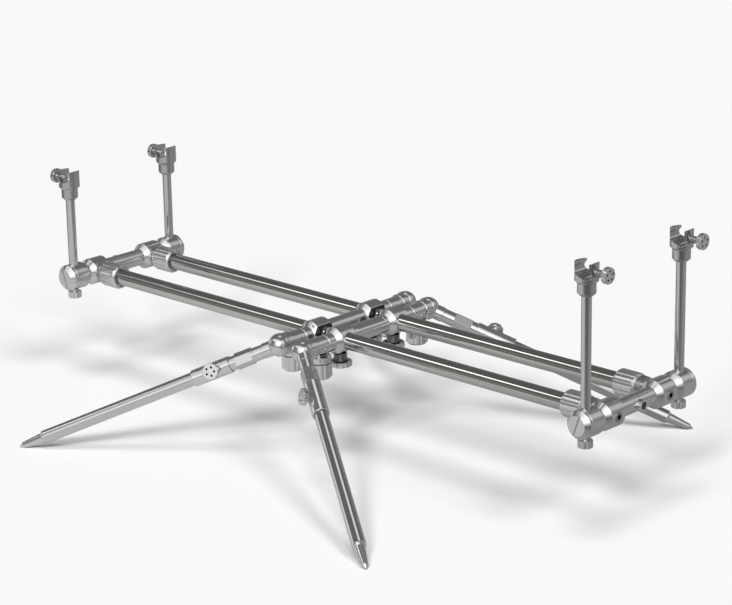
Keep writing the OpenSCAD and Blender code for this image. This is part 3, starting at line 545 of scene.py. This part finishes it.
def thread_tree():
    """A helical ridge with a lozenge section, standing on z = 0 round the Z axis."""
    w, given, ends = new_group(
        "screw_thread", "GeometryNodeTree",
        [("Geometry", "NodeSocketGeometry", None), ("Radius", "NodeSocketFloat", 4 * MM),
         ("Length", "NodeSocketFloat", 10 * MM), ("Pitch", "NodeSocketFloat", 1.25 * MM),
         ("Place", "NodeSocketVector", (0, 0, 0)), ("Turn", "NodeSocketRotation", None),
         ("Material", "NodeSocketMaterial", None)],
        [("Geometry", "NodeSocketGeometry")])
    helix = w.node("GeometryNodeCurveSpiral", inputs={
        "Resolution": 40, "Rotations": w.math("DIVIDE", given["Length"], given["Pitch"]),
        "Start Radius": given["Radius"], "End Radius": given["Radius"],
        "Height": given["Length"]})
    upright = w.node("GeometryNodeSetCurveNormal", inputs={"Curve": helix.outputs[0]})
    upright.mode = "Z_UP"
    ridge = w.node("GeometryNodeCurvePrimitiveCircle", mode="RADIUS", inputs={
        "Resolution": 4, "Radius": w.math("MULTIPLY", given["Pitch"], RIDGE_HALF)})
    swept = w.node("GeometryNodeCurveToMesh", inputs={
        "Curve": upright.outputs[0], "Profile Curve": ridge.outputs[0], "Fill Caps": True})
    placed = w.node("GeometryNodeTransform", inputs={
        "Geometry": swept.outputs[0], "Translation": given["Place"], "Rotation": given["Turn"]})
    real = w.node("GeometryNodeRealizeInstances", inputs={"Geometry": placed.outputs[0]})
    painted = w.node("GeometryNodeSetMaterial", inputs={
        "Geometry": real.outputs[0], "Material": given["Material"]})
    w.feed(ends["Geometry"], painted.outputs[0])
    return w.tree


def grown_piece(name, tree, values):
    """A plain mesh piece made by a geometry tree with the given inputs."""
    seed = bpy.data.objects.new(name + "_seed", bpy.data.meshes.new(name + "_seed"))
    bpy.context.scene.collection.objects.link(seed)
    modifier = seed.modifiers.new("tree", "NODES")
    modifier.node_group = tree
    sockets = {item.name: item.identifier for item in tree.interface.items_tree
               if item.in_out == "INPUT"}
    for key, value in values.items():
        modifier[sockets[key]] = value
    bpy.context.view_layer.update()
    ready = seed.evaluated_get(bpy.context.evaluated_depsgraph_get())
    mesh = bpy.data.meshes.new_from_object(ready)
    mesh.name = name
    bpy.data.objects.remove(seed)
    piece = bpy.data.objects.new(name, mesh)
    bpy.context.scene.collection.objects.link(piece)
    return piece


# Operators: one for each group of like pieces

class POD_OT_dress_bars(bpy.types.Operator):
    """Ground steel on the main bars"""
    bl_idname = "pod.dress_bars"
    bl_label = "Main bars"

    def execute(self, context):
        for side in ("near", "far"):
            node = f"main_bar_{side}"
            wear_steel([node], f"bar_steel_{side}", "bar", AXES["x"], middle(node))
        return {"FINISHED"}


class POD_OT_dress_crossbars(bpy.types.Operator):
    """Turned steel on the crossbars, their end caps and bolts"""
    bl_idname = "pod.dress_crossbars"
    bl_label = "Crossbars"

    def execute(self, context):
        for side in SIDES:
            centre = Vector((BAR_REACH[side], 0, BAR_HEIGHT))
            wear_steel([f"crossbar_{side}"], f"crossbar_steel_{side}", "body", AXES["y"], centre)
        # The four caps are one node, and share the right crossbar's axis
        centre = Vector((BAR_REACH["right"], 0, BAR_HEIGHT))
        wear_steel(["end_caps"], "end_cap_steel", "body", AXES["y"], centre)
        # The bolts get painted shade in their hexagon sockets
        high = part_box("bar_bolts")[1]
        socket = Vector((high.x - SOCKET_DEPTH, abs(middle("main_bar_near").y), BAR_HEIGHT))
        wear_steel(["bar_bolts"], "bar_bolt_steel", "bolt", AXES["x"], middle("main_bar_near"),
                   boxes=[(socket, SOCKET_HALF)])
        return {"FINISHED"}


class POD_OT_dress_couplings(bpy.types.Operator):
    """Satin steel on the coupling collars"""
    bl_idname = "pod.dress_couplings"
    bl_label = "Coupling collars"

    def execute(self, context):
        for corner in CORNERS:
            node = f"collar_{corner}"
            wear_steel([node], f"collar_steel_{corner}", "collar", AXES["x"], middle(node))
        return {"FINISHED"}


class POD_OT_dress_uprights(bpy.types.Operator):
    """Steel on the uprights, fork heads, head knobs and foot screws"""
    bl_idname = "pod.dress_uprights"
    bl_label = "Uprights and heads"

    def execute(self, context):
        for corner in CORNERS:
            centre = middle(f"upright_{corner}")
            wear_steel([f"upright_{corner}"], f"upright_steel_{corner}", "rod", AXES["z"], centre)
            wear_steel([f"head_{corner}"], f"head_steel_{corner}", "head", AXES["z"], centre)
            wear_steel([f"foot_screw_{corner}"], f"foot_screw_steel_{corner}", "knob",
                       AXES["z"], centre)
            # Painted shade in the head knobs' drilled holes
            node = f"head_knob_{corner}"
            wear_steel([node], f"head_knob_steel_{corner}", "knob", AXES["x"], middle(node),
                       drilled=drilled_face(node, middle(node), AXES["x"]))
        return {"FINISHED"}


class POD_OT_dress_hubs(bpy.types.Operator):
    """Turned steel on the hubs, and bright steel on their clamps and leg locks"""
    bl_idname = "pod.dress_hubs"
    bl_label = "Hubs"

    def execute(self, context):
        threads = context.scene.pod_threads
        for side in SIDES:
            centre = Vector((HUB_AXIS[side], 0, BAR_HEIGHT))
            # The hubs get painted shade in the gap between them, in small holes and in the lock
            # slots
            wear_steel([f"hub_{side}"], f"hub_steel_{side}", "body", AXES["y"], centre,
                       boxes=[INNER_FACE_SHADE, SET_HOLE_SHADE, LOCK_SLOT_SHADE])
        for corner in CORNERS:
            clamp, lock = f"bar_clamp_{corner}", f"leg_lock_{corner}"
            # Bar clamps get painted shade round their threaded necks
            wear_steel([clamp], f"bar_clamp_steel_{corner}", "knob", AXES["z"], middle(clamp),
                       boxes=[self.neck(clamp, threads)])
            wear_steel([lock], f"leg_lock_steel_{corner}", "knob", AXES["z"], middle(lock))
        return {"FINISHED"}

    def neck(self, clamp, threads):
        """Box of painted shade round the neck between a bar clamp's disc and the barrel over it."""
        spot = middle(clamp)
        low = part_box(clamp)[0].z + threads.face_thickness
        high = BAR_HEIGHT - threads.barrel_radius
        return (Vector((abs(spot.x), abs(spot.y), (low + high) / 2)),
                Vector((CLAMP_NECK_HALF, CLAMP_NECK_HALF, (high - low) / 2)))


class POD_OT_dress_legs(bpy.types.Operator):
    """Steel on the knuckles, leg rods, sleeves, lower tubes and spikes"""
    bl_idname = "pod.dress_legs"
    bl_label = "Legs"

    def execute(self, context):
        for corner in CORNERS:
            hub_centre, hub_axis = joint_line(f"leg_{corner}_swing")
            wear_steel([f"knuckle_{corner}"], f"knuckle_steel_{corner}", "body",
                       hub_axis, hub_centre)
            leg_axis = joint_line(f"leg_{corner}_extend")[1]
            centre = middle(f"lower_tube_{corner}")
            wear_steel([f"rod_{corner}"], f"leg_rod_steel_{corner}", "body", leg_axis, centre)
            wear_steel([f"lower_tube_{corner}"], f"lower_tube_steel_{corner}", "rod",
                       leg_axis, centre)
            wear_steel([f"sleeve_{corner}", f"spike_{corner}"], f"sleeve_steel_{corner}", "knob",
                       leg_axis, centre)
            # Painted shade in the sleeve knobs' drilled holes
            knob_centre, knob_axis = joint_line(f"sleeve_knob_{corner}_turn")
            node = f"sleeve_knob_{corner}"
            wear_steel([node], f"sleeve_knob_steel_{corner}", "knob", knob_axis, knob_centre,
                       drilled=drilled_face(node, knob_centre, knob_axis))
        return {"FINISHED"}


class POD_OT_cut_threads(bpy.types.Operator):
    """Screw threads on the crossbars' necks and on the screws that show"""
    bl_idname = "pod.cut_threads"
    bl_label = "Screw threads"

    def execute(self, context):
        threads = context.scene.pod_threads
        tree = thread_tree()
        for corner in CORNERS:
            side = corner.split("_")[1]
            # Which corner of a box is the outer one, and the way out along X
            outer, out = (1, 1) if side == "right" else (0, -1)
            barrel = BAR_REACH[side] - out * threads.barrel_radius
            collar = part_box(f"collar_{corner}")[outer].x
            start = Vector((min(barrel, collar), middle(f"collar_{corner}").y, BAR_HEIGHT))
            self.thread(tree, f"neck_thread_{corner}", "frame", start, AXES["x"],
                        abs(collar - barrel), "neck", threads)

            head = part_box(f"head_{corner}")[outer].x
            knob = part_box(f"head_knob_{corner}")[outer].x - out * threads.face_thickness
            start = middle(f"head_knob_{corner}")
            start.x = min(head, knob)
            self.thread(tree, f"knob_thread_{corner}", f"head_knob_{corner}", start, AXES["x"],
                        abs(knob - head), "screw", threads)

            start = middle(f"bar_clamp_{corner}")
            start.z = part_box(f"bar_clamp_{corner}")[0].z + threads.face_thickness
            self.thread(tree, f"clamp_thread_{corner}", f"bar_clamp_{corner}", start, AXES["z"],
                        BAR_HEIGHT - threads.barrel_radius - start.z, "clamp", threads)
        return {"FINISHED"}

    def thread(self, tree, name, body, place, axis, length, kind, threads):
        """One helical ridge on a screw, clear of what stands at both its ends."""
        material = steel(name + "_steel", "bolt", axis, place)
        pitch = getattr(threads, f"{kind}_pitch")
        piece = grown_piece(name, tree, {
            "Radius": getattr(threads, f"{kind}_radius"), "Length": length - 2 * END_GAP * pitch,
            "Pitch": pitch, "Place": place + axis * (END_GAP * pitch),
            "Turn": AXES["z"].rotation_difference(axis).to_euler(), "Material": material})
        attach(piece, body)


class POD_OT_set_stage(bpy.types.Operator):
    """Floor, room, lamps and camera"""
    bl_idname = "pod.set_stage"
    bl_label = "Studio"

    def execute(self, context):
        studio = context.scene.pod_studio
        self.floor(studio)
        self.room(context.scene, studio)
        self.camera(context.scene, studio)
        for name, angle, azimuth, elevation in SUNS:
            strength = getattr(studio, f"{name}_strength")
            self.lamp(f"{name}_lamp", strength, angle, way(azimuth, elevation))
        context.scene.view_settings.view_transform = "Standard"
        return {"FINISHED"}

    def floor(self, studio):
        corners = [(x * FLOOR_HALF, y * FLOOR_HALF, 0) for x, y in
                   ((-1, -1), (1, -1), (1, 1), (-1, 1))]
        mesh = bpy.data.meshes.new("floor")
        mesh.from_pydata(corners, [], [(0, 1, 2, 3)])
        mesh.materials.append(self.floor_paint(studio))
        floor = bpy.data.objects.new("floor", mesh)
        bpy.context.scene.collection.objects.link(floor)

    def floor_paint(self, studio):
        """Pale and matt. In the steel it is a painted reflection: a paper fading into a dimmer
        floor.
        """
        material = bpy.data.materials.new("floor_paint")
        material.use_nodes = True
        shader = material.node_tree.nodes["Principled BSDF"]
        w = Wiring(material.node_tree)
        place = w.node("ShaderNodeTexCoord").outputs["Object"]
        far = w.vector("DISTANCE", place, tuple(studio.paper_middle), out=1)
        glossy = w.node("ShaderNodeLightPath").outputs["Is Glossy Ray"]
        pale = (*studio.floor_colour, 1.0)
        paper = [studio.paper_share * c for c in studio.floor_colour] + [1.0]
        fade = w.spread(far, studio.paper_reach, PAPER_END * studio.paper_reach, 0.0, 1.0)
        across = w.node("ShaderNodeSeparateXYZ", inputs={0: place}).outputs[1]
        greys = ([level * studio.horizon] * 3 + [1.0] for level in BEYOND_LEVELS)
        beyond = w.blend(w.spread(across, *BEYOND_Y, 0.0, 1.0), *greys)
        # Painted reflection: glossy rays see a dimmed, fading paper and a darker floor beyond
        painted_reflection = w.blend(fade, paper, beyond)
        w.feed(shader.inputs["Base Color"], w.blend(glossy, pale, painted_reflection))
        shader.inputs["Roughness"].default_value = 1.0
        shader.inputs["Specular IOR Level"].default_value = 0.0
        return material

    def room(self, scene, studio):
        """Even scattered light; in the steel, a dim room with a paler horizon and soft lamps."""
        world = bpy.data.worlds.new("room")
        scene.world = world
        world.use_nodes = True
        w = Wiring(world.node_tree)
        direction = w.node("ShaderNodeTexCoord").outputs["Generated"]
        rise = w.node("ShaderNodeSeparateXYZ", inputs={0: direction}).outputs[2]
        total = w.spread(rise, 0.0, CEILING_RISE, studio.horizon, studio.ceiling)
        for azimuth, elevation, inner, outer, radiance in ROOM_LAMPS:
            total = w.math("ADD", total, w.node(
                "ShaderNodeGroup", node_tree=shared_group(room_glow), inputs={
                    "Way": way(azimuth, elevation), "Inner": math.cos(math.radians(inner)),
                    "Outer": math.cos(math.radians(outer)), "Radiance": radiance}).outputs[0])
        glossy = w.node("ShaderNodeLightPath").outputs["Is Glossy Ray"]
        seen = w.math("MULTIPLY", glossy, total)
        even = w.math("MULTIPLY", w.math("SUBTRACT", 1.0, glossy), studio.ambient)
        w.feed(world.node_tree.nodes["Background"].inputs["Color"], w.math("ADD", seen, even))

    def lamp(self, name, strength, angle, direction):
        """A soft sun that shines from the given direction."""
        data = bpy.data.lights.new(name, "SUN")
        data.energy = strength
        data.angle = math.radians(angle)
        lamp = bpy.data.objects.new(name, data)
        lamp.rotation_euler = direction.to_track_quat("Z", "Y").to_euler()
        lamp.visible_glossy = False
        bpy.context.scene.collection.objects.link(lamp)

    def camera(self, scene, studio):
        a, e, r = studio.azimuth, studio.elevation, studio.roll
        back = Vector((math.sin(a) * math.cos(e), -math.cos(a) * math.cos(e), math.sin(e)))
        level = (-back).cross(AXES["z"]).normalized()
        rise = level.cross(-back)
        right = level * math.cos(r) + rise * math.sin(r)
        up = rise * math.cos(r) - level * math.sin(r)
        data = bpy.data.cameras.new("camera")
        data.sensor_fit = "HORIZONTAL"
        data.sensor_width = SENSOR_WIDTH
        data.lens = FOCAL_PIXELS / PHOTO_WIDTH * SENSOR_WIDTH
        data.clip_end = VIEW_LIMIT
        camera = bpy.data.objects.new("camera", data)
        turn = Matrix((right, up, back)).transposed().to_4x4()
        turn.translation = Vector(studio.target) + back * studio.distance
        camera.matrix_world = turn
        scene.collection.objects.link(camera)
        scene.camera = camera


STEPS = (POD_OT_dress_bars, POD_OT_dress_crossbars, POD_OT_dress_couplings,
         POD_OT_dress_uprights, POD_OT_dress_hubs, POD_OT_dress_legs, POD_OT_cut_threads,
         POD_OT_set_stage)


class POD_PT_dressing(bpy.types.Panel):
    """Lists the steps that dress the rod pod"""
    bl_idname = "POD_PT_dressing"
    bl_label = "Rod pod"
    bl_space_type = "VIEW_3D"
    bl_region_type = "UI"
    bl_category = "Rod pod"

    def draw(self, context):
        column = self.layout.column()
        for owner in (context.scene.pod_finish, context.scene.pod_threads,
                      context.scene.pod_studio):
            for key in owner.bl_rna.properties.keys():
                if key not in ("rna_type", "name"):
                    column.prop(owner, key)
        for step in STEPS:
            column.operator(step.bl_idname)


CLASSES = (PodFinish, PodThreads, PodStudio, *STEPS, POD_PT_dressing)


def register():
    for cls in CLASSES:
        bpy.utils.register_class(cls)
    bpy.types.Scene.pod_finish = bpy.props.PointerProperty(type=PodFinish)
    bpy.types.Scene.pod_threads = bpy.props.PointerProperty(type=PodThreads)
    bpy.types.Scene.pod_studio = bpy.props.PointerProperty(type=PodStudio)


def unregister():
    del bpy.types.Scene.pod_finish
    del bpy.types.Scene.pod_threads
    del bpy.types.Scene.pod_studio
    for cls in reversed(CLASSES):
        bpy.utils.unregister_class(cls)


def main():
    register()
    for step in STEPS:
        group, name = step.bl_idname.split(".")
        getattr(getattr(bpy.ops, group), name)()


if __name__ == "__main__":
    main()
